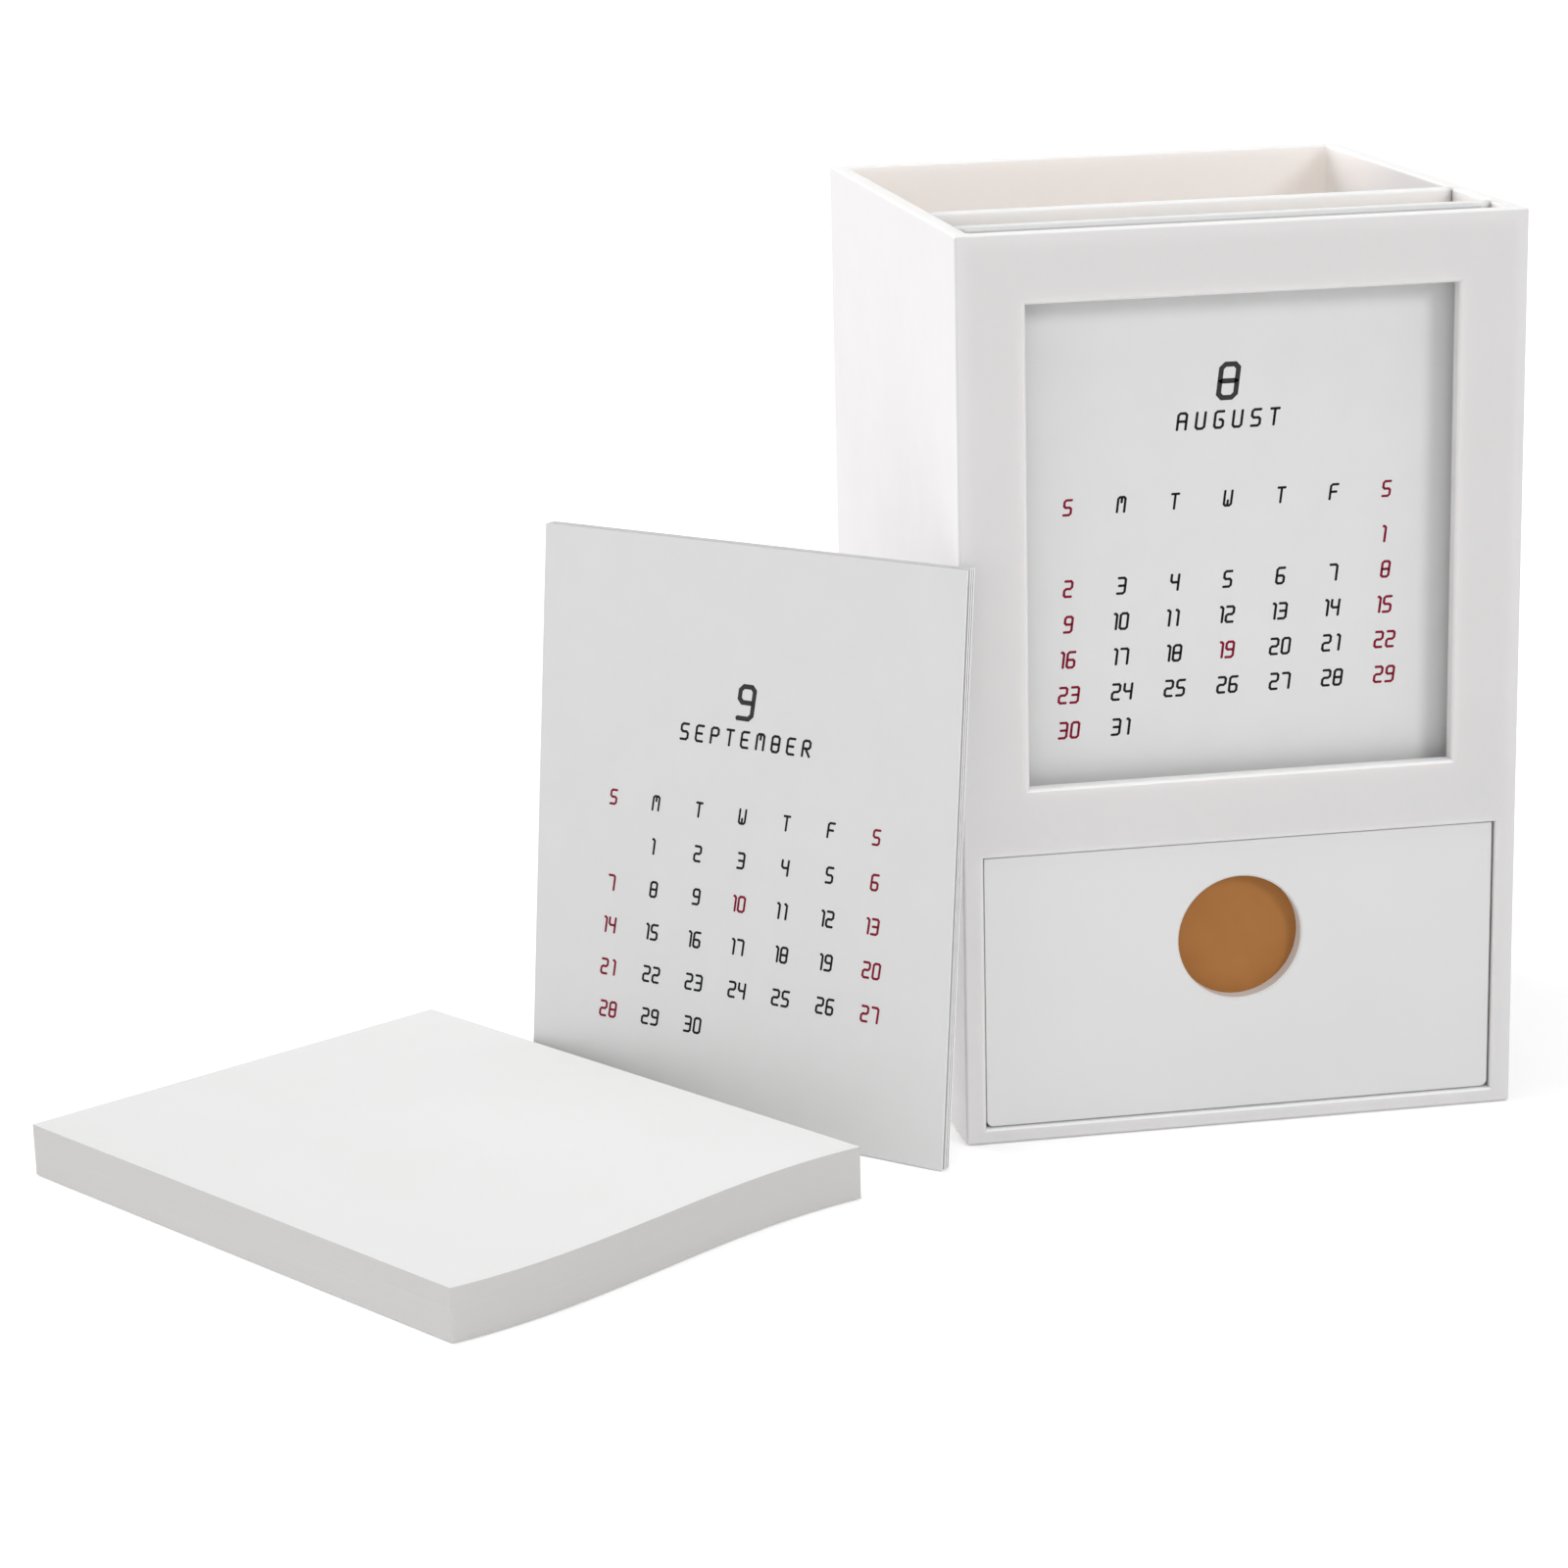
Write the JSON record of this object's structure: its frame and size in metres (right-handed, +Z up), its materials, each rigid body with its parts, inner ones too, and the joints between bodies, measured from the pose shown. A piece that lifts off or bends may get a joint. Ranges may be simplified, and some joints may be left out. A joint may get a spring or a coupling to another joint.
{
  "type": "desk calendar with drawer",
  "caption": "Free-standing desk calendar: a housing with a window for month cards, a slot and a pen compartment on top and a drawer below, with spare cards and a memo pad.",
  "frame": {"origin": "middle of the housing's underside, on the table", "axes": "+Z up, -Y out of the housing's front with its window and drawer, +X to the right for a person who faces that front"},
  "size_m": [0.2621, 0.1809, 0.16],
  "materials": {
    "housing_plastic": "white moulded plastic, fine matte",
    "drawer_plastic": "white moulded plastic, fine matte",
    "pull_disc": "tan brown, matte",
    "card_stock": "smooth white card",
    "memo_paper": "uncoated white paper"
  },
  "bodies": {
    "housing": {"housing_shell": "housing_plastic", "front_frame": "housing_plastic", "compartment_floor": "housing_plastic", "pocket_plate": "housing_plastic", "partition": "housing_plastic"},
    "drawer": {"drawer_tray": "drawer_plastic", "pull_disc": "pull_disc"},
    "august_card": {"card_august": "card_stock"},
    "july_card": {"card_july": "card_stock"},
    "june_card": {"card_june": "card_stock"},
    "may_card": {"card_may": "card_stock"},
    "april_card": {"card_april": "card_stock"},
    "march_card": {"card_march": "card_stock"},
    "february_card": {"card_february": "card_stock"},
    "january_card": {"card_january": "card_stock"},
    "spare_cards": {"card_september": "card_stock", "card_october": "card_stock", "card_november": "card_stock", "card_december": "card_stock"},
    "memo_pad": {"memo_pad": "memo_paper"}
  },
  "joints": [
    {"name": "drawer_slide", "type": "slide", "parent": "housing", "child": "drawer", "axis": [0, -1, 0], "range_m": [0, 0.085]},
    {"name": "august_card_lift", "type": "slide", "parent": "housing", "child": "august_card", "axis": [0, 0, 1], "range_m": [0, 0.11]},
    {"name": "july_card_lift", "type": "slide", "parent": "housing", "child": "july_card", "axis": [0, 0, 1], "range_m": [0, 0.11]},
    {"name": "june_card_lift", "type": "slide", "parent": "housing", "child": "june_card", "axis": [0, 0, 1], "range_m": [0, 0.11]},
    {"name": "may_card_lift", "type": "slide", "parent": "housing", "child": "may_card", "axis": [0, 0, 1], "range_m": [0, 0.11]},
    {"name": "april_card_lift", "type": "slide", "parent": "housing", "child": "april_card", "axis": [0, 0, 1], "range_m": [0, 0.11]},
    {"name": "march_card_lift", "type": "slide", "parent": "housing", "child": "march_card", "axis": [0, 0, 1], "range_m": [0, 0.11]},
    {"name": "february_card_lift", "type": "slide", "parent": "housing", "child": "february_card", "axis": [0, 0, 1], "range_m": [0, 0.11]},
    {"name": "january_card_lift", "type": "slide", "parent": "housing", "child": "january_card", "axis": [0, 0, 1], "range_m": [0, 0.11]},
    {"name": "spare_cards_lift", "type": "slide", "parent": "housing", "child": "spare_cards", "axis": [0, 0, 1], "range_m": [0, 0.1]},
    {"name": "memo_pad_lift", "type": "slide", "parent": "housing", "child": "memo_pad", "axis": [0, 0, 1], "range_m": [0, 0.1]}
  ]
}
